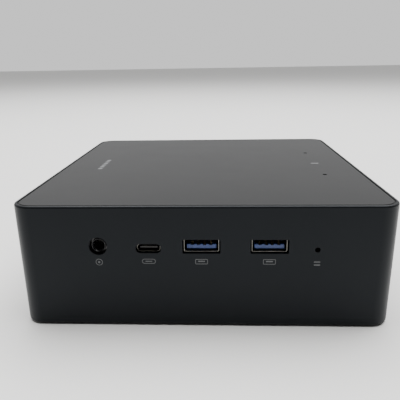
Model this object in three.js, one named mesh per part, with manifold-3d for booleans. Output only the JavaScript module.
// Mini pc: a square desktop computer with an inset lid, ports at the front and rear, and a cooler that
// draws air in through the underside.
// Millimetres, +Z up. The origin is the middle of the footprint, on the surface that the feet stand on.
// The front looks towards -Y, and +X is to the right of someone facing the front.

import * as THREE from 'three';
import { mergeVertices } from 'three/addons/utils/BufferGeometryUtils.js';
import Module from 'manifold-3d';

// ---------------------------------------------------------------- driving dimensions

// Whole object
const WIDTH = 144;
const DEPTH = 142;
const BODY_HEIGHT = 48.4;
const FOOT_PROUD = 0.8;
const CORNER_R = 7.7;
const GAP = 0.3; // clearance between pieces that touch on the real object

// Case walls, rim and lid
const WALL = 2.2;
const EDGE_R = 0.5;
const RIM_WIDTH = 1.3;
const LID_GROOVE = 0.75;
const LID_THICK = 1.6;
const LEDGE_WIDTH = 4;
const LEDGE_THICK = 2.3;
const COVER_THICK = 2.4;

// Main board
const BOARD_UNDER_Z = 37;
const BOARD_THICK = 1.6;
const BOARD_WIDTH = 133;
const BOARD_DEPTH = 131;
const POST_X = 61.5;
const POST_Y = 60.5;
const POST_R = 4;

// Cooler
const FAN_SIZE = 84;
const FAN_DEPTH = 12.2;
const FAN_BORE_R = 39;
const BLADE_TIP_R = 37.7;
const BLADE_COUNT = 9;

// Front openings: middle of each port, across and up
const JACK = { x: -39.4, z: 33.6 };
const FRONT_USB_C = { x: -20.5, z: 32.7 };
const FRONT_USB_A_X = { left: -0.7, right: 24.5 };
const RESET = { x: 42, z: 32.3, holeR: 0.98 };

// Rear openings: middle of each port, across. Seen from behind they run the other way.
const POWER = { x: 50.5, z: 32.4 };
const REAR_USB_A_X = { left: 21.6, right: 37.4 };
const LAN_X = 4.4;
const VIDEO_WIDE_X = -13.6;
const VIDEO_SLIM_X = -31.9;
const DC_X = -47.5;

// Microphone holes in the lid
const MIC_X = 53.6;
const MIC_FRONT_Y = -25;
const MIC_REAR_Y = 23.8;
const MIC_HOLE_R = 0.95;

// ---------------------------------------------------------------- derived levels and faces

const BASE_Z = FOOT_PROUD;
const TOP_Z = BASE_Z + BODY_HEIGHT;
const FRONT_Y = -DEPTH / 2;
const REAR_Y = DEPTH / 2;
const LID_UNDER_Z = TOP_Z - LID_THICK;
const LEDGE_Z = LID_UNDER_Z - GAP;
const COVER_TOP_Z = BASE_Z + COVER_THICK;
const POST_FOOT_Z = COVER_TOP_Z + GAP;
const PORT_TOP_Z = BOARD_UNDER_Z - GAP;
const BOARD_TOP_Z = BOARD_UNDER_Z + BOARD_THICK;
const SEAT_Z = BOARD_TOP_Z + GAP;
const CUT = 1; // how far a cutting shape runs past the face that it cuts
const SIDES = [-1, 1];

// ---------------------------------------------------------------- solid helpers

const wasm = await Module();
wasm.setup();

function toSolid(geometry) {
  const bare = geometry.clone();
  bare.deleteAttribute('normal');
  bare.deleteAttribute('uv');
  const merged = mergeVertices(bare, 1e-4);
  return new wasm.Manifold(new wasm.Mesh({
    numProp: 3,
    vertProperties: new Float32Array(merged.attributes.position.array),
    triVerts: new Uint32Array(merged.index.array),
  }));
}

function toGeometry(solid) {
  const mesh = solid.getMesh();
  const geometry = new THREE.BufferGeometry();
  geometry.setAttribute('position', new THREE.BufferAttribute(mesh.vertProperties, 3));
  geometry.setIndex(new THREE.BufferAttribute(mesh.triVerts, 1));
  const flat = geometry.toNonIndexed();
  flat.computeVertexNormals();
  return flat;
}

function join(...solids) {
  return solids.reduce((whole, piece) => whole.add(piece));
}

function cut(solid, ...cutters) {
  return solid.subtract(join(...cutters));
}

function box(x0, x1, y0, y1, z0, z1) {
  const geometry = new THREE.BoxGeometry(x1 - x0, y1 - y0, z1 - z0);
  geometry.translate((x0 + x1) / 2, (y0 + y1) / 2, (z0 + z1) / 2);
  return toSolid(geometry);
}

// A rectangle with round corners, centred on the shape's origin.
function roundRect(width, height, radius) {
  const x = width / 2 - radius;
  const y = height / 2 - radius;
  const quarter = Math.PI / 2;
  const shape = new THREE.Shape();
  shape.moveTo(x, -y - radius);
  shape.absarc(x, -y, radius, -quarter, 0, false);
  shape.absarc(x, y, radius, 0, quarter, false);
  shape.absarc(-x, y, radius, quarter, 2 * quarter, false);
  shape.absarc(-x, -y, radius, 2 * quarter, 3 * quarter, false);
  shape.closePath();
  return shape;
}

// A rectangle whose short sides are half round.
function pill(width, height) {
  return roundRect(width, height, Math.min(width, height) / 2 - 0.01);
}

function polygon(points) {
  const shape = new THREE.Shape();
  points.forEach(([x, y], i) => (i ? shape.lineTo(x, y) : shape.moveTo(x, y)));
  shape.closePath();
  return shape;
}

// The three slabs take the number of facets in each quarter-round corner of their outline. An arc is
// divided into twice its curveSegments, so that number is halved.
function slabOptions(depth, facets) {
  return { depth, bevelEnabled: false, curveSegments: facets / 2 };
}

// A flat outline raised from z0 to z1.
function slabZ(shape, z0, z1, x = 0, y = 0, facets = 4) {
  const options = slabOptions(z1 - z0, facets);
  const geometry = new THREE.ExtrudeGeometry(shape, options);
  geometry.translate(x, y, z0);
  return toSolid(geometry);
}

// An upright outline, drawn across and up, that runs back from y0 to y1.
function slabY(shape, y0, y1, x = 0, z = 0, facets = 4) {
  const options = slabOptions(y1 - y0, facets);
  const geometry = new THREE.ExtrudeGeometry(shape, options);
  geometry.rotateX(Math.PI / 2);
  geometry.translate(x, y1, z);
  return toSolid(geometry);
}

// An upright outline, drawn back and up, that runs across from x0 to x1.
function slabX(shape, x0, x1, y = 0, z = 0, facets = 4) {
  const options = slabOptions(x1 - x0, facets);
  const geometry = new THREE.ExtrudeGeometry(shape, options);
  geometry.rotateX(Math.PI / 2);
  geometry.rotateZ(Math.PI / 2);
  geometry.translate(x0, y, z);
  return toSolid(geometry);
}

function rodZ(radius, z0, z1, x = 0, y = 0, segments = 20) {
  const geometry = new THREE.CylinderGeometry(radius, radius, z1 - z0, segments);
  geometry.rotateX(Math.PI / 2);
  geometry.translate(x, y, (z0 + z1) / 2);
  return toSolid(geometry);
}

function rodY(radius, y0, y1, x = 0, z = 0, segments = 20) {
  const geometry = new THREE.CylinderGeometry(radius, radius, y1 - y0, segments);
  geometry.translate(x, (y0 + y1) / 2, z);
  return toSolid(geometry);
}

// A round lead of the given radius along a smooth curve through the points.
function lead(points, radius, steps) {
  const section = new THREE.Shape();
  section.absarc(0, 0, radius, 0, 2 * Math.PI, false);
  const path = new THREE.CatmullRomCurve3(points.map((p) => new THREE.Vector3(...p)));
  const sidesOfSection = 6;
  const options = {
    steps, extrudePath: path, curveSegments: sidesOfSection / 2, bevelEnabled: false,
  };
  return toSolid(new THREE.ExtrudeGeometry(section, options));
}

// ---------------------------------------------------------------- scene helpers

const miniPc = new THREE.Group();
miniPc.name = 'mini_pc';

const LOOKS = {
  caseCoat: { color: 0x2a2c30, roughness: 0.55, metalness: 0.4 },
  lidCoat: { color: 0x303236, roughness: 0.42, metalness: 0.4 },
  panelPlastic: { color: 0x17181a, roughness: 0.6, metalness: 0 },
  rubber: { color: 0x101011, roughness: 0.9, metalness: 0 },
  blackScrew: { color: 0x1c1c1e, roughness: 0.4, metalness: 0.8 },
  steelScrew: { color: 0xb9bcc0, roughness: 0.35, metalness: 1 },
  portShell: { color: 0xa8a59c, roughness: 0.32, metalness: 1 },
  portBlue: { color: 0x2f57a5, roughness: 0.5, metalness: 0 },
  portBlack: { color: 0x0d0d0e, roughness: 0.5, metalness: 0 },
  boardGreen: { color: 0x12181a, roughness: 0.5, metalness: 0 },
  cardGreen: { color: 0x14361f, roughness: 0.5, metalness: 0 },
  chip: { color: 0x202124, roughness: 0.45, metalness: 0 },
  fins: { color: 0xc3c6c9, roughness: 0.35, metalness: 1 },
  fanBlack: { color: 0x151516, roughness: 0.55, metalness: 0 },
  cell: { color: 0xc9c9c6, roughness: 0.3, metalness: 1 },
  leadBlack: { color: 0x161616, roughness: 0.6, metalness: 0 },
};

function place(name, solid, look, position = [0, 0, 0], turnZ = 0) {
  const material = new THREE.MeshStandardMaterial(LOOKS[look]);
  const mesh = new THREE.Mesh(toGeometry(solid), material);
  mesh.name = name;
  mesh.position.set(...position);
  mesh.rotation.z = turnZ;
  miniPc.add(mesh);
}

// Calls back for each of the four corners with its sign across, its sign back and its name.
function atCorners(each) {
  for (const sy of SIDES) {
    for (const sx of SIDES) {
      each(sx, sy, `${sy < 0 ? 'front' : 'rear'}_${sx < 0 ? 'left' : 'right'}`);
    }
  }
}

// ---------------------------------------------------------------- ports: shared sizes

const USB_A = { width: 13.2, height: 5.7, wall: 0.35, length: 14, recess: 1.2 };
const USB_A_Z = PORT_TOP_Z - USB_A.height / 2;
const USB_C = { width: 8.94, height: 3.2, wall: 0.28, length: 7.5, recess: 1.2 };
const JACK_SIZE = { collarR: 2.7, holeR: 1.8, recess: 1, cutR: 3.45 };
const LAN = { width: 16, height: 13.4, length: 21 };
const DC = { width: 9, height: 11, length: 13, holeR: 2.95 };
const VIDEO_HEIGHT = 5.6;
const VIDEO_LENGTH = 12;
const PORT_CLEAR = 0.4; // between a port's shell and the edge of its cut-out
const LIP = 0.5; // thickness of the lip that narrows the front cut-outs at their mouths
const USB_A_LIP = { width: 14.1, height: 5.5, drop: 0.35 };
const USB_C_LIP = { width: 9.5, height: 3.6 };
const REAR_PANEL_RECESS = 0.6;
const PANEL_FLANGE = 1.2;
const REAR_PORT_RECESS = REAR_PANEL_RECESS + 0.2;

// The wide video port tapers in at its lower corners.
function videoWideOutline(offset) {
  const half = 7.5 + offset;
  const top = VIDEO_HEIGHT / 2 + offset;
  return polygon([
    [-half + 2.2, -top], [half - 2.2, -top], [half, -0.6], [half, top], [-half, top], [-half, -0.6],
  ]);
}

// The slim video port has one corner cut off. A side of -1 draws it as seen from inside the case.
function videoSlimOutline(offset, side = 1) {
  const half = side * (8.2 + offset);
  const top = VIDEO_HEIGHT / 2 + offset;
  const corner = 2;
  return polygon([
    [-half + side * corner, -top], [half, -top], [half, top], [-half, top], [-half, -top + corner],
  ]);
}

// ---------------------------------------------------------------- case

const REAR_CUT = { halfWidth: 57.5, z0: 6, z1: 43, radius: 2.5 };
const SIDE_VENTS = { count: 11, pitch: 4.4, width: 1.6, height: 14, firstY: 4, z: 17 };
const LOCK_SLOT = { width: 7, height: 3, radius: 1, y: -44, z: 17 };
const EXHAUST = { count: 27, pitch: 4, width: 2.2, height: 12, z: 14.6 };

function shellBody() {
  const options = {
    depth: BODY_HEIGHT - 2 * EDGE_R,
    curveSegments: 5,
    bevelThickness: EDGE_R,
    bevelSize: EDGE_R,
    bevelOffset: -EDGE_R,
    bevelSegments: 2,
  };
  const outline = roundRect(WIDTH, DEPTH, CORNER_R);
  const geometry = new THREE.ExtrudeGeometry(outline, options);
  geometry.translate(0, 0, BASE_Z + EDGE_R);
  return toSolid(geometry);
}

// A hollow in the case whose wall is the given thickness all round.
function hollow(wall, z0, z1) {
  const outline = roundRect(WIDTH - 2 * wall, DEPTH - 2 * wall, CORNER_R - wall);
  return slabZ(outline, z0, z1, 0, 0, 8);
}

function screwPosts() {
  const bite = 0.5; // how far the web beside each post runs into the wall
  const posts = [];
  atCorners((sx, sy) => {
    const cornerX = sx * (WIDTH / 2 - CORNER_R);
    const cornerY = sy * (DEPTH / 2 - CORNER_R);
    posts.push(rodZ(CORNER_R - WALL + bite, POST_FOOT_Z, PORT_TOP_Z, cornerX, cornerY, 24));
    posts.push(rodZ(POST_R, POST_FOOT_Z, PORT_TOP_Z, sx * POST_X, sy * POST_Y, 20));
  });
  return join(...posts);
}

function postHoles() {
  const depth = 9;
  const radius = HEAD.shaftR + GAP;
  const holes = [];
  atCorners((sx, sy) => {
    holes.push(rodZ(radius, POST_FOOT_Z - CUT, POST_FOOT_Z + depth, sx * POST_X, sy * POST_Y, 12));
    holes.push(rodZ(radius, PORT_TOP_Z - depth, PORT_TOP_Z + CUT, sx * POST_X, sy * POST_Y, 12));
  });
  return join(...holes);
}

// The cut-outs of the flat ports are a narrow mouth with a roomier well behind it for the shell.
function frontCuts() {
  const y0 = FRONT_Y - CUT;
  const y1 = FRONT_Y + WALL + CUT;
  const lipY = FRONT_Y + LIP;
  const usbAMouth = roundRect(USB_A_LIP.width, USB_A_LIP.height, 0.5);
  const usbAWell = roundRect(USB_A_LIP.width, USB_A.height + 2 * PORT_CLEAR - 0.2, 0.5);
  const usbCMouth = pill(USB_C_LIP.width, USB_C_LIP.height);
  const usbCWell = pill(USB_C.width + 2 * GAP, USB_C.height + 2 * GAP);
  const cutters = [
    rodY(JACK_SIZE.cutR, y0, y1, JACK.x, JACK.z, 32),
    rodY(RESET.holeR, y0, y1, RESET.x, RESET.z, 16),
    slabY(usbCMouth, y0, y1, FRONT_USB_C.x, FRONT_USB_C.z, 6),
    slabY(usbCWell, lipY, y1, FRONT_USB_C.x, FRONT_USB_C.z, 6),
  ];
  for (const x of Object.values(FRONT_USB_A_X)) {
    cutters.push(slabY(usbAMouth, y0, y1, x, USB_A_Z - USB_A_LIP.drop, 2));
    cutters.push(slabY(usbAWell, lipY, y1, x, USB_A_Z, 2));
  }
  return join(...cutters);
}

// A row of upright slits low on each side, for air to the board.
function sideVents() {
  const { count, pitch, width, height, firstY, z } = SIDE_VENTS;
  const slit = pill(width, height);
  const slits = [];
  for (const side of SIDES) {
    const x = side * (WIDTH / 2 - WALL / 2);
    for (let i = 0; i < count; i += 1) {
      slits.push(slabX(slit, x - WALL, x + WALL, firstY + i * pitch, z, 1));
    }
  }
  return join(...slits);
}

// The slot for a security lock, low on the right side.
function lockSlot() {
  const x = WIDTH / 2 - WALL / 2;
  const { width, height, radius, y, z } = LOCK_SLOT;
  return slabX(roundRect(width, height, radius), x - WALL, x + WALL, y, z, 4);
}

function caseShell() {
  const rearWindow = roundRect(2 * REAR_CUT.halfWidth, REAR_CUT.z1 - REAR_CUT.z0, REAR_CUT.radius);
  const rearMiddleZ = (REAR_CUT.z0 + REAR_CUT.z1) / 2;
  const walls = cut(
    shellBody(),
    hollow(WALL, BASE_Z - CUT, LEDGE_Z - LEDGE_THICK),
    hollow(LEDGE_WIDTH, LEDGE_Z - LEDGE_THICK - CUT, LEDGE_Z + CUT),
    hollow(RIM_WIDTH, LEDGE_Z, TOP_Z + CUT),
  );
  return cut(
    join(walls, screwPosts()),
    postHoles(),
    frontCuts(),
    sideVents(),
    lockSlot(),
    slabY(rearWindow, REAR_Y - WALL - CUT, REAR_Y + CUT, 0, rearMiddleZ, 4),
  );
}

function topLid() {
  const inset = RIM_WIDTH + LID_GROOVE;
  const outline = roundRect(WIDTH - 2 * inset, DEPTH - 2 * inset, CORNER_R - inset);
  const tabLength = 12;
  const tabThick = 1.2;
  const tabDepth = 2.4;
  const tabX = WIDTH / 2 - LEDGE_WIDTH - GAP;
  const tabY = DEPTH / 2 - LEDGE_WIDTH - GAP;
  const tabs = [];
  for (const side of SIDES) {
    const x = side * (tabX - tabThick / 2);
    const y = side * (tabY - tabThick / 2);
    const z0 = LID_UNDER_Z - tabDepth;
    const z1 = LID_UNDER_Z + 0.1;
    tabs.push(box(x - tabThick / 2, x + tabThick / 2, -tabLength / 2, tabLength / 2, z0, z1));
    tabs.push(box(-tabLength / 2, tabLength / 2, y - tabThick / 2, y + tabThick / 2, z0, z1));
  }
  return cut(
    join(slabZ(outline, LID_UNDER_Z, TOP_Z, 0, 0, 10), ...tabs),
    rodZ(MIC_HOLE_R, LID_UNDER_Z - CUT, TOP_Z + CUT, MIC_X, MIC_FRONT_Y, 16),
    rodZ(MIC_HOLE_R, LID_UNDER_Z - CUT, TOP_Z + CUT, MIC_X, MIC_REAR_Y, 16),
  );
}

// ---------------------------------------------------------------- bottom cover, feet and screws

const FOOT = { length: 24, width: 9, x: 44, y: 58, sink: 0.8 };
const HEAD = {
  radius: 2.3, boreR: 2.6, boreDepth: 1.5, thick: 1, shaftR: 1.15, shaftLength: 7, holeR: 1.5,
};

// Straight slits that fill a circle under the fan, with a bar left across the middle.
function intakeSlits() {
  const fieldR = 36;
  const pitch = 4.6;
  const width = 2.4;
  const bar = 2.5;
  const slits = [];
  for (let column = -7; column <= 7; column += 1) {
    const x = column * pitch;
    const reach = Math.sqrt(fieldR ** 2 - x ** 2);
    const length = reach - bar;
    const slit = pill(width, length);
    for (const side of SIDES) {
      const y = side * (bar + length / 2);
      slits.push(slabZ(slit, BASE_Z - CUT, COVER_TOP_Z + CUT, x, y, 1));
    }
  }
  return join(...slits);
}

function bottomCover() {
  const inset = WALL + GAP;
  const outline = roundRect(WIDTH - 2 * inset, DEPTH - 2 * inset, CORNER_R - inset);
  const recess = pill(FOOT.length + 2 * GAP, FOOT.width + 2 * GAP);
  const cutters = [intakeSlits()];
  atCorners((sx, sy) => {
    cutters.push(slabZ(recess, BASE_Z - CUT, BASE_Z + FOOT.sink, sx * FOOT.x, sy * FOOT.y, 4));
    cutters.push(rodZ(HEAD.boreR, BASE_Z - CUT, BASE_Z + HEAD.boreDepth, sx * POST_X, sy * POST_Y, 20));
    cutters.push(rodZ(HEAD.holeR, BASE_Z - CUT, COVER_TOP_Z + CUT, sx * POST_X, sy * POST_Y, 12));
  });
  return cut(slabZ(outline, BASE_Z, COVER_TOP_Z, 0, 0, 8), ...cutters);
}

function foot() {
  const outline = pill(FOOT.length, FOOT.width);
  return slabZ(outline, 0, FOOT_PROUD + FOOT.sink - GAP, 0, 0, 4);
}

// A pan-head screw standing head down: head from z 0 up, shaft above it, cross recess in the head.
function screw(headR, headThick, shaftR, shaftLength) {
  const crossHalf = headR * 0.55;
  const crossDepth = headThick * 0.55;
  const slotHalf = 0.3;
  return cut(
    join(
      rodZ(headR, 0, headThick, 0, 0, 18),
      rodZ(shaftR, headThick - 0.1, headThick + shaftLength, 0, 0, 10),
    ),
    box(-crossHalf, crossHalf, -slotHalf, slotHalf, -CUT, crossDepth),
    box(-slotHalf, slotHalf, -crossHalf, crossHalf, -CUT, crossDepth),
  );
}

// ---------------------------------------------------------------- rear panel

function rearPanel() {
  const innerFaceY = REAR_Y - WALL - GAP;
  const flangeY = innerFaceY - PANEL_FLANGE;
  const faceY = REAR_Y - REAR_PANEL_RECESS;
  const middleZ = (REAR_CUT.z0 + REAR_CUT.z1) / 2;
  const plug = roundRect(
    2 * (REAR_CUT.halfWidth - GAP),
    REAR_CUT.z1 - REAR_CUT.z0 - 2 * GAP,
    REAR_CUT.radius - GAP,
  );
  const flange = roundRect(2 * (REAR_CUT.halfWidth + 1.7), REAR_CUT.z1 - REAR_CUT.z0 + 3.2, 1);
  const y0 = flangeY - CUT;
  const y1 = faceY + CUT;
  const usbA = roundRect(USB_A.width + 2 * PORT_CLEAR, USB_A.height + 2 * PORT_CLEAR, 0.6);
  const lan = roundRect(LAN.width + 2 * PORT_CLEAR, LAN.height + 2 * PORT_CLEAR, 0.4);
  const dc = roundRect(DC.width + 2 * PORT_CLEAR, DC.height + 2 * PORT_CLEAR, 0.6);
  return cut(
    join(
      slabY(flange, flangeY, innerFaceY, 0, middleZ, 2),
      slabY(plug, innerFaceY - 0.1, faceY, 0, middleZ, 4),
    ),
    slabY(usbA, y0, y1, REAR_USB_A_X.left, USB_A_Z, 2),
    slabY(usbA, y0, y1, REAR_USB_A_X.right, USB_A_Z, 2),
    slabY(lan, y0, y1, LAN_X, PORT_TOP_Z - LAN.height / 2, 2),
    slabY(dc, y0, y1, DC_X, PORT_TOP_Z - DC.height / 2, 2),
    slabY(videoWideOutline(PORT_CLEAR), y0, y1, VIDEO_WIDE_X, PORT_TOP_Z - VIDEO_HEIGHT / 2),
    slabY(videoSlimOutline(PORT_CLEAR, -1), y0, y1, VIDEO_SLIM_X, PORT_TOP_Z - VIDEO_HEIGHT / 2),
    rodY(POWER_BUTTON.capR + GAP, y0, y1, POWER.x, POWER.z, 28),
    exhaustSlits(y0, y1),
  );
}

// The exhaust: upright slits in one row along the foot of the rear panel.
function exhaustSlits(y0, y1) {
  const { count, pitch, width, height, z } = EXHAUST;
  const slit = pill(width, height);
  const slits = [];
  for (let i = 0; i < count; i += 1) {
    slits.push(slabY(slit, y0, y1, (i - (count - 1) / 2) * pitch, z, 1));
  }
  return join(...slits);
}

// ---------------------------------------------------------------- ports
// Each port is drawn with the middle of its mouth at the origin and its length running back along +Y.

function usbAShell() {
  const outer = roundRect(USB_A.width, USB_A.height, 0.6);
  const inner = roundRect(USB_A.width - 2 * USB_A.wall, USB_A.height - 2 * USB_A.wall, 0.3);
  return cut(slabY(outer, 0, USB_A.length, 0, 0, 4), slabY(inner, -CUT, USB_A.length + CUT, 0, 0, 4));
}

// The blade lies in the lower half of the mouth and grows out of a block at the back of the shell.
function usbATongue() {
  const bladeHalf = 5.55;
  const blockHalf = USB_A.width / 2 - USB_A.wall - GAP;
  const blockTop = USB_A.height / 2 - USB_A.wall - GAP;
  return join(
    box(-bladeHalf, bladeHalf, 0.7, 10, -1.8, 0),
    box(-blockHalf, blockHalf, 9.5, USB_A.length, -blockTop, blockTop),
  );
}

function usbCShell() {
  const inside = USB_C.height - 2 * USB_C.wall;
  const outer = pill(USB_C.width, USB_C.height);
  const inner = pill(USB_C.width - 2 * USB_C.wall, inside);
  return cut(slabY(outer, 0, USB_C.length, 0, 0, 6), slabY(inner, -CUT, USB_C.length + CUT, 0, 0, 6));
}

// The blade, its block inside the shell and the riser that carries it up to the board.
function usbCTongue() {
  const bladeHalf = 3.35;
  const bladeTop = 0.35;
  const blockHalf = 3.5;
  const blockTop = USB_C.height / 2 - USB_C.wall - GAP;
  const riserTop = PORT_TOP_Z - FRONT_USB_C.z;
  return join(
    box(-bladeHalf, bladeHalf, 0.6, 6, -bladeTop, bladeTop),
    box(-blockHalf, blockHalf, 5.5, 8.2, -blockTop, blockTop),
    box(-4.2, 4.2, 7.8, 9.8, -1.5, riserTop),
  );
}

// A round collar in front of the block that holds the plug's springs.
function audioJack() {
  const blockY = WALL + GAP - JACK_SIZE.recess;
  const blockTop = PORT_TOP_Z - JACK.z;
  return cut(
    join(
      rodY(JACK_SIZE.collarR, 0, blockY + 0.1, 0, 0, 28),
      box(-3.6, 3.6, blockY, blockY + 12, -3.4, blockTop),
    ),
    rodY(JACK_SIZE.holeR, -CUT, 11, 0, 0, 20),
  );
}

function videoShell(outline) {
  const wall = 0.4;
  return cut(
    slabY(outline(0), 0, VIDEO_LENGTH),
    slabY(outline(-wall), -CUT, VIDEO_LENGTH + CUT),
  );
}

function videoTongue(bladeHalf, bladeTop) {
  return join(
    box(-bladeHalf, bladeHalf, 0.8, 9, -bladeTop, bladeTop),
    box(-5, 5, 8.5, VIDEO_LENGTH, -1.8, 1.8),
  );
}

// The network socket is wide at the top and steps in below for the plug's latch.
function lanSocket() {
  const back = 15;
  return cut(
    box(-LAN.width / 2, LAN.width / 2, 0, LAN.length, -LAN.height / 2, LAN.height / 2),
    box(-5.95, 5.95, -CUT, back, -2.4, 4.9),
    box(-3.2, 3.2, -CUT, back, -4, -2.3),
    box(-2, 2, -CUT, 8, -5.2, -3.9),
  );
}

// A barrel socket with its pin standing in the middle.
function dcInlet() {
  const mouthZ = 0.3;
  return join(
    cut(
      box(-DC.width / 2, DC.width / 2, 0, DC.length, -DC.height / 2, DC.height / 2),
      rodY(DC.holeR, -CUT, 9.5, 0, mouthZ, 24),
    ),
    rodY(1.15, 1.2, 9.6, 0, mouthZ, 12),
  );
}

// ---------------------------------------------------------------- buttons
// Each is drawn with its outer face at the origin and its travel running back along +Y.

const POWER_BUTTON = { capR: 3.9, flangeR: 4.9, stemR: 1.5, proud: 0.4, length: 7.4, travel: 0.5 };
const RESET_BUTTON = { radius: 1.3, length: 2, travel: 0.3 };
const RESET_WELL_DEPTH = 1.5;

function powerButton() {
  const panelThick = WALL + GAP + PANEL_FLANGE - REAR_PANEL_RECESS;
  const flangeY = POWER_BUTTON.proud + panelThick + GAP;
  return join(
    rodY(POWER_BUTTON.capR, 0, flangeY + 0.1, 0, 0, 28),
    rodY(POWER_BUTTON.flangeR, flangeY, flangeY + 1, 0, 0, 28),
    rodY(POWER_BUTTON.stemR, flangeY + 0.9, POWER_BUTTON.length, 0, 0, 14),
  );
}

function powerSwitch() {
  return join(
    box(-3, 3, 0.6, 4, -3, PORT_TOP_Z - POWER.z),
    rodY(1.7, 0, 0.7, 0, 0, 16),
  );
}

function resetButton() {
  return rodY(RESET_BUTTON.radius, 0, RESET_BUTTON.length, 0, 0, 14);
}

function resetSwitch() {
  const wellR = RESET_BUTTON.radius + GAP;
  return cut(
    box(-2.5, 2.5, 0, 4, -2.3, PORT_TOP_Z - RESET.z),
    rodY(wellR, -CUT, RESET_WELL_DEPTH, 0, 0, 14),
  );
}

// ---------------------------------------------------------------- board

function motherboard() {
  const holes = [];
  atCorners((sx, sy) => {
    holes.push(rodZ(HEAD.holeR, BOARD_UNDER_Z - CUT, BOARD_TOP_Z + CUT, sx * POST_X, sy * POST_Y, 14));
  });
  return cut(slabZ(roundRect(BOARD_WIDTH, BOARD_DEPTH, 3), BOARD_UNDER_Z, BOARD_TOP_Z), ...holes);
}

// ---------------------------------------------------------------- memory, drive and wireless card
// Sockets and cards are drawn with the middle of the socket's rear edge at the origin, the board's
// upper face at z 0 and the card lying towards -Y.

const RAM = { x: -21, rearY: [58, 20], width: 69.6, depth: 30, thick: 1.2, z: 1.9 };
const RAM_SLOT = { barHalf: 37, barDepth: 7.4, height: 4, grooveDepth: 4.2 };
const M2 = { x: 34, width: 22, z: 1.9, thick: 0.8 };
const M2_SOCKET = { half: 11.2, depth: 6, height: 3.8, grooveDepth: 2.6 };
const M2_EDGE_Y = -M2_SOCKET.depth + M2_SOCKET.grooveDepth - GAP;
const SSD = { rearY: 25, length: 80 };
const WIRELESS = { rearY: 63.5, length: 30 };

// A bar with a groove for the card's edge, and an arm down each side with its latch.
function ramSlot() {
  const { barHalf, barDepth, height, grooveDepth } = RAM_SLOT;
  const armDepth = 31;
  const armWidth = 1.8;
  const grooveHalf = RAM.width / 2 + GAP;
  return cut(
    join(
      box(-barHalf, barHalf, -barDepth, 0, 0, height),
      box(-barHalf, -barHalf + armWidth, -armDepth, -barDepth + 0.1, 0, height - 0.6),
      box(barHalf - armWidth, barHalf, -armDepth, -barDepth + 0.1, 0, height - 0.6),
    ),
    box(
      -grooveHalf, grooveHalf, -barDepth - CUT, -barDepth + grooveDepth,
      RAM.z - GAP, RAM.z + RAM.thick + GAP,
    ),
  );
}

function ramModule() {
  const edgeY = -RAM_SLOT.barDepth + RAM_SLOT.grooveDepth - GAP;
  const chips = [];
  for (let i = 0; i < 4; i += 1) {
    const x = (i - 1.5) * 16;
    const y = edgeY - 19;
    chips.push(box(x - 5, x + 5, y - 6, y + 6, RAM.z + RAM.thick - 0.1, RAM.z + RAM.thick + 0.9));
  }
  return join(
    box(-RAM.width / 2, RAM.width / 2, edgeY - RAM.depth, edgeY, RAM.z, RAM.z + RAM.thick),
    ...chips,
  );
}

function cardSocket() {
  const { half, depth, height, grooveDepth } = M2_SOCKET;
  const grooveHalf = M2.width / 2 + GAP;
  return cut(
    box(-half, half, -depth, 0, 0, height),
    box(
      -grooveHalf, grooveHalf, -depth - CUT, -depth + grooveDepth,
      M2.z - GAP, M2.z + M2.thick + GAP,
    ),
  );
}

// A card with a half-round notch for its screw at the end away from the socket.
function edgeCard(length, lumps) {
  const edgeY = M2_EDGE_Y;
  const top = M2.z + M2.thick;
  const card = cut(
    box(-M2.width / 2, M2.width / 2, edgeY - length, edgeY, M2.z, top),
    rodZ(1.6, M2.z - CUT, top + CUT, 0, edgeY - length, 16),
  );
  return join(card, ...lumps.map(([x0, x1, y0, y1, high]) => (
    box(x0, x1, edgeY + y0, edgeY + y1, top - 0.1, top + high)
  )));
}

function ssdCard() {
  return edgeCard(SSD.length, [
    [-9.5, 9.5, -74, -56, 1.2],
    [-9.5, 9.5, -52, -34, 1.2],
    [-7, 7, -30, -16, 1],
    [-5, 5, -13, -6, 0.9],
  ]);
}

function wirelessCard() {
  return edgeCard(WIRELESS.length, [[-10, 10, -22, -7, 1.5]]);
}

// The post that the card lies on, with the screw that holds it down, in one stepped piece.
function cardScrew() {
  const cardTop = M2.z + M2.thick;
  return join(
    rodZ(2.4, GAP, M2.z - GAP, 0, 0, 16),
    rodZ(1.1, M2.z - GAP - 0.1, cardTop + GAP + 0.1, 0, 0, 12),
    rodZ(2.5, cardTop + GAP, cardTop + GAP + 0.9, 0, 0, 16),
  );
}

// ---------------------------------------------------------------- clock cell, microphones, antennas

const COIN_R = 10;
const COIN_FLOOR = 0.8;

function coinHolder() {
  const outerR = 11.6;
  const height = 3.6;
  return cut(
    rodZ(outerR, 0, height, 0, 0, 28),
    rodZ(COIN_R + GAP, COIN_FLOOR, height + CUT, 0, 0, 28),
    box(-4, 4, -outerR - CUT, -8, 2 * COIN_FLOOR, height + CUT),
  );
}

function coinCell() {
  return join(
    rodZ(COIN_R, COIN_FLOOR + GAP, 3.4, 0, 0, 28),
    rodZ(COIN_R - 1.2, 3.3, 3.9, 0, 0, 28),
  );
}

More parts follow.
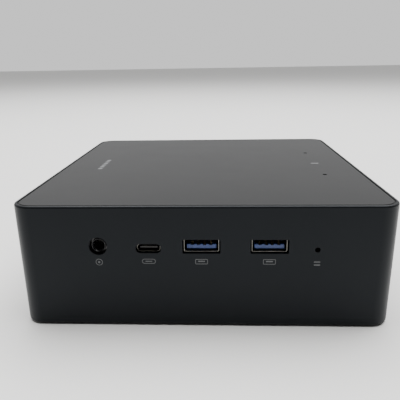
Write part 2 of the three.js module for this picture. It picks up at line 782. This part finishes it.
// A strip under the lid on two posts, with a sleeve up to each microphone hole.
function micBoard() {
  const half = 4;
  const overhang = 6;
  const stripZ = 45.2;
  const stripThick = 1;
  const sleeveTop = LID_UNDER_Z - GAP;
  const sleeves = [];
  const mouths = [];
  const posts = [];
  for (const y of [MIC_FRONT_Y, MIC_REAR_Y]) {
    sleeves.push(rodZ(2.4, stripZ + stripThick - 0.1, sleeveTop, MIC_X, y, 18));
    mouths.push(rodZ(MIC_HOLE_R, stripZ + stripThick + 0.2, sleeveTop + CUT, MIC_X, y, 12));
  }
  for (const y of [MIC_FRONT_Y + 12, MIC_REAR_Y - 12]) {
    posts.push(box(MIC_X - 2, MIC_X + 2, y - 3, y + 3, SEAT_Z, stripZ + 0.1));
  }
  const strip = box(
    MIC_X - half, MIC_X + half, MIC_FRONT_Y - overhang, MIC_REAR_Y + overhang,
    stripZ, stripZ + stripThick,
  );
  return cut(join(strip, ...sleeves, ...posts), ...mouths);
}

const ANTENNA = { halfLength: 19, x: 34, z0: 39.8, z1: 44.2, thick: 0.8 };
const ANTENNA_Y = REAR_Y - WALL - GAP - PANEL_FLANGE - GAP;

function antenna() {
  return box(-ANTENNA.halfLength, ANTENNA.halfLength, -ANTENNA.thick, 0, ANTENNA.z0, ANTENNA.z1);
}

// A thin lead from the wireless card to the antenna on that side.
function antennaLead(side) {
  const radius = 0.55;
  const cardZ = SEAT_Z + M2.z + M2.thick + 0.9;
  const startY = WIRELESS.rearY + M2_EDGE_Y - WIRELESS.length + 5;
  const startX = M2.x + side * 7;
  const turnX = side > 0 ? 49.5 : 19.2;
  const endX = side > 0 ? 47 : -16;
  const endY = ANTENNA_Y - ANTENNA.thick - GAP - radius;
  const points = [
    [startX, startY, cardZ],
    [startX + side * 2, startY - 1, cardZ + 0.2],
    [turnX, startY + 4, cardZ - 0.5],
    [turnX, endY - 12, cardZ - 1],
    [turnX - side * 0.5, endY - 4, cardZ],
    [turnX - 3, endY, cardZ + 0.4],
    [endX, endY, cardZ + 0.4],
  ];
  return lead(points, radius, 22);
}

// ---------------------------------------------------------------- cooler

const FAN_Z = POST_FOOT_Z;
const HUB_R = 16;
const FAN_SHAFT_R = 1.5;

// A square frame with four arms that carry the motor's seat and its fixed shaft.
function fanFrame() {
  const top = FAN_Z + FAN_DEPTH;
  const seatZ = top - 1.8;
  const arm = 1.6;
  return join(
    cut(
      slabZ(roundRect(FAN_SIZE, FAN_SIZE, 4), FAN_Z, top, 0, 0, 4),
      rodZ(FAN_BORE_R, FAN_Z - CUT, top + CUT, 0, 0, 56),
    ),
    box(-FAN_BORE_R - 1, FAN_BORE_R + 1, -arm, arm, seatZ, top),
    box(-arm, arm, -FAN_BORE_R - 1, FAN_BORE_R + 1, seatZ, top),
    rodZ(HUB_R - 1, seatZ, top, 0, 0, 32),
    rodZ(FAN_SHAFT_R, FAN_Z + 4, seatZ + 0.1, 0, 0, 14),
  );
}

// One blade: a swept plan outline, tilted about the line from the hub to its tip.
function fanBlade(angle) {
  const rootX = HUB_R - 1.5;
  const chord = 8.6;
  const rootHalf = 4.6;
  const thick = 1.1;
  const tilt = 0.42;
  const tipX = Math.sqrt(BLADE_TIP_R ** 2 - chord ** 2);
  const shape = new THREE.Shape();
  shape.moveTo(rootX, -rootHalf);
  shape.quadraticCurveTo(26, -rootHalf - 5, tipX, -chord);
  shape.absarc(0, 0, BLADE_TIP_R, -Math.asin(chord / BLADE_TIP_R), Math.asin(chord / BLADE_TIP_R), false);
  shape.quadraticCurveTo(28, rootHalf + 1, rootX, rootHalf);
  shape.closePath();
  const options = { depth: thick, bevelEnabled: false, curveSegments: 3 };
  const geometry = new THREE.ExtrudeGeometry(shape, options);
  geometry.translate(0, 0, -thick / 2);
  geometry.rotateX(tilt);
  geometry.rotateZ(angle);
  return toSolid(geometry);
}

// The rotor is drawn about its own middle, with a blind hole from above for the shaft.
function fanRotor() {
  const half = 4.3;
  const blades = [];
  for (let i = 0; i < BLADE_COUNT; i += 1) {
    blades.push(fanBlade((i / BLADE_COUNT) * 2 * Math.PI));
  }
  return cut(
    join(rodZ(HUB_R, -half, half, 0, 0, 36), ...blades),
    rodZ(FAN_SHAFT_R + GAP, -half + 1.2, half + CUT, 0, 0, 14),
  );
}

// A plate over the processor with upright fins below it that run from front to rear.
function heatsink() {
  const half = 42;
  const plateZ = 33;
  const plateTop = 35.2;
  const finFoot = 17;
  const finHalf = 0.4;
  const pitch = 3.4;
  const pieces = [box(-half, half, -half, half, plateZ, plateTop)];
  for (let i = -12; i <= 12; i += 1) {
    const x = i * pitch;
    pieces.push(box(x - finHalf, x + finHalf, -half, half, finFoot, plateZ + 0.1));
  }
  atCorners((sx, sy) => {
    pieces.push(rodZ(2.6, plateTop - 0.1, PORT_TOP_Z, sx * 38, sy * 38, 14));
  });
  return join(...pieces);
}

function processor() {
  return join(
    box(-22.5, 22.5, -17, 17, 36.2, PORT_TOP_Z),
    box(-8, 8, -6, 6, 35.5, 36.3),
  );
}

// From the fan's corner up to its plug under the board.
function fanLead() {
  const x = FAN_SIZE / 2 + GAP;
  const points = [[x, 30, 9], [x + 5, 30, 9.5], [x + 9, 30, 16], [x + 9, 29, 26], [x + 8, 28, 33.5]];
  return join(
    lead(points, 1.1, 16),
    box(x + 4.5, x + 11.5, 25.5, 30.5, 33, PORT_TOP_Z),
  );
}

// ---------------------------------------------------------------- assembly

place('case_shell', caseShell(), 'caseCoat');
place('top_lid', topLid(), 'lidCoat');
place('bottom_cover', bottomCover(), 'panelPlastic');
place('rear_panel', rearPanel(), 'panelPlastic');

atCorners((sx, sy, corner) => {
  place(`foot_${corner}`, foot(), 'rubber', [sx * FOOT.x, sy * FOOT.y, 0]);
});

const coverScrewZ = BASE_Z + HEAD.boreDepth - GAP - HEAD.thick;
atCorners((sx, sy, corner) => {
  const solid = screw(HEAD.radius, HEAD.thick, HEAD.shaftR, HEAD.shaftLength);
  place(`cover_screw_${corner}`, solid, 'blackScrew', [sx * POST_X, sy * POST_Y, coverScrewZ]);
});

place('motherboard', motherboard(), 'boardGreen');
atCorners((sx, sy, corner) => {
  const headThick = 1.5;
  const solid = screw(2.5, headThick, HEAD.shaftR, HEAD.shaftLength).rotate([180, 0, 0]);
  const z = SEAT_Z + headThick;
  place(`board_screw_${corner}`, solid, 'steelScrew', [sx * POST_X, sy * POST_Y, z]);
});

place('audio_jack', audioJack(), 'portBlack', [JACK.x, FRONT_Y + JACK_SIZE.recess, JACK.z]);
const frontUsbC = [FRONT_USB_C.x, FRONT_Y + USB_C.recess, FRONT_USB_C.z];
place('front_usb_c_shell', usbCShell(), 'portShell', frontUsbC);
place('front_usb_c_tongue', usbCTongue(), 'portBlack', frontUsbC);

for (const [side, x] of Object.entries(FRONT_USB_A_X)) {
  const spot = [x, FRONT_Y + USB_A.recess, USB_A_Z];
  place(`front_usb_a_${side}_shell`, usbAShell(), 'portShell', spot);
  place(`front_usb_a_${side}_tongue`, usbATongue(), 'portBlue', spot);
}

const rearMouthY = REAR_Y - REAR_PORT_RECESS;
for (const [side, x] of Object.entries(REAR_USB_A_X)) {
  const spot = [x, rearMouthY, USB_A_Z];
  place(`rear_usb_a_${side}_shell`, usbAShell(), 'portShell', spot, Math.PI);
  place(`rear_usb_a_${side}_tongue`, usbATongue(), 'portBlue', spot, Math.PI);
}

const videoZ = PORT_TOP_Z - VIDEO_HEIGHT / 2;
const videoWideSpot = [VIDEO_WIDE_X, rearMouthY, videoZ];
const videoSlimSpot = [VIDEO_SLIM_X, rearMouthY, videoZ];
place('video_wide_shell', videoShell(videoWideOutline), 'portShell', videoWideSpot, Math.PI);
place('video_wide_tongue', videoTongue(5.1, 0.8), 'portBlack', videoWideSpot, Math.PI);
place('video_slim_shell', videoShell(videoSlimOutline), 'portShell', videoSlimSpot, Math.PI);
place('video_slim_tongue', videoTongue(5.6, 0.7), 'portBlack', videoSlimSpot, Math.PI);
const lanSpot = [LAN_X, rearMouthY, PORT_TOP_Z - LAN.height / 2];
place('lan_socket', lanSocket(), 'portBlack', lanSpot, Math.PI);
place('dc_inlet', dcInlet(), 'portBlack', [DC_X, rearMouthY, PORT_TOP_Z - DC.height / 2], Math.PI);

const powerFaceY = REAR_Y - REAR_PANEL_RECESS + POWER_BUTTON.proud;
const powerSwitchY = powerFaceY - POWER_BUTTON.length - POWER_BUTTON.travel - GAP;
place('power_button', powerButton(), 'panelPlastic', [POWER.x, powerFaceY, POWER.z], Math.PI);
place('power_switch', powerSwitch(), 'chip', [POWER.x, powerSwitchY, POWER.z], Math.PI);
const resetFaceY = FRONT_Y + WALL + 0.4;
place('reset_button', resetButton(), 'panelPlastic', [RESET.x, resetFaceY, RESET.z]);
const resetEndY = resetFaceY + RESET_BUTTON.length + RESET_BUTTON.travel + GAP;
place('reset_switch', resetSwitch(), 'chip', [RESET.x, resetEndY - RESET_WELL_DEPTH, RESET.z]);

RAM.rearY.forEach((y, i) => {
  const spot = [RAM.x, y, SEAT_Z];
  place(`ram_slot_${i + 1}`, ramSlot(), 'portBlack', spot);
  place(`ram_module_${i + 1}`, ramModule(), 'cardGreen', spot);
});

const cards = { ssd: [SSD, ssdCard()], wireless: [WIRELESS, wirelessCard()] };
for (const [name, [size, card]] of Object.entries(cards)) {
  const screwY = size.rearY + M2_EDGE_Y - size.length;
  place(`${name}_socket`, cardSocket(), 'portBlack', [M2.x, size.rearY, SEAT_Z]);
  place(`${name}_card`, card, 'cardGreen', [M2.x, size.rearY, SEAT_Z]);
  place(`${name}_screw`, cardScrew(), 'steelScrew', [M2.x, screwY, BOARD_TOP_Z]);
}

const coinSpot = [-48, -38, SEAT_Z];
place('coin_holder', coinHolder(), 'portBlack', coinSpot);
place('coin_cell', coinCell(), 'cell', coinSpot);
place('mic_board', micBoard(), 'cardGreen');

for (const [side, sign] of Object.entries({ left: -1, right: 1 })) {
  place(`antenna_${side}`, antenna(), 'chip', [sign * ANTENNA.x, ANTENNA_Y, 0]);
  place(`antenna_lead_${side}`, antennaLead(sign), 'leadBlack');
}

place('processor', processor(), 'chip');
place('heatsink', heatsink(), 'fins');
place('fan_frame', fanFrame(), 'fanBlack');
place('fan_rotor', fanRotor(), 'fanBlack', [0, 0, FAN_Z + 5.2]);
place('fan_lead', fanLead(), 'leadBlack');

export default miniPc;
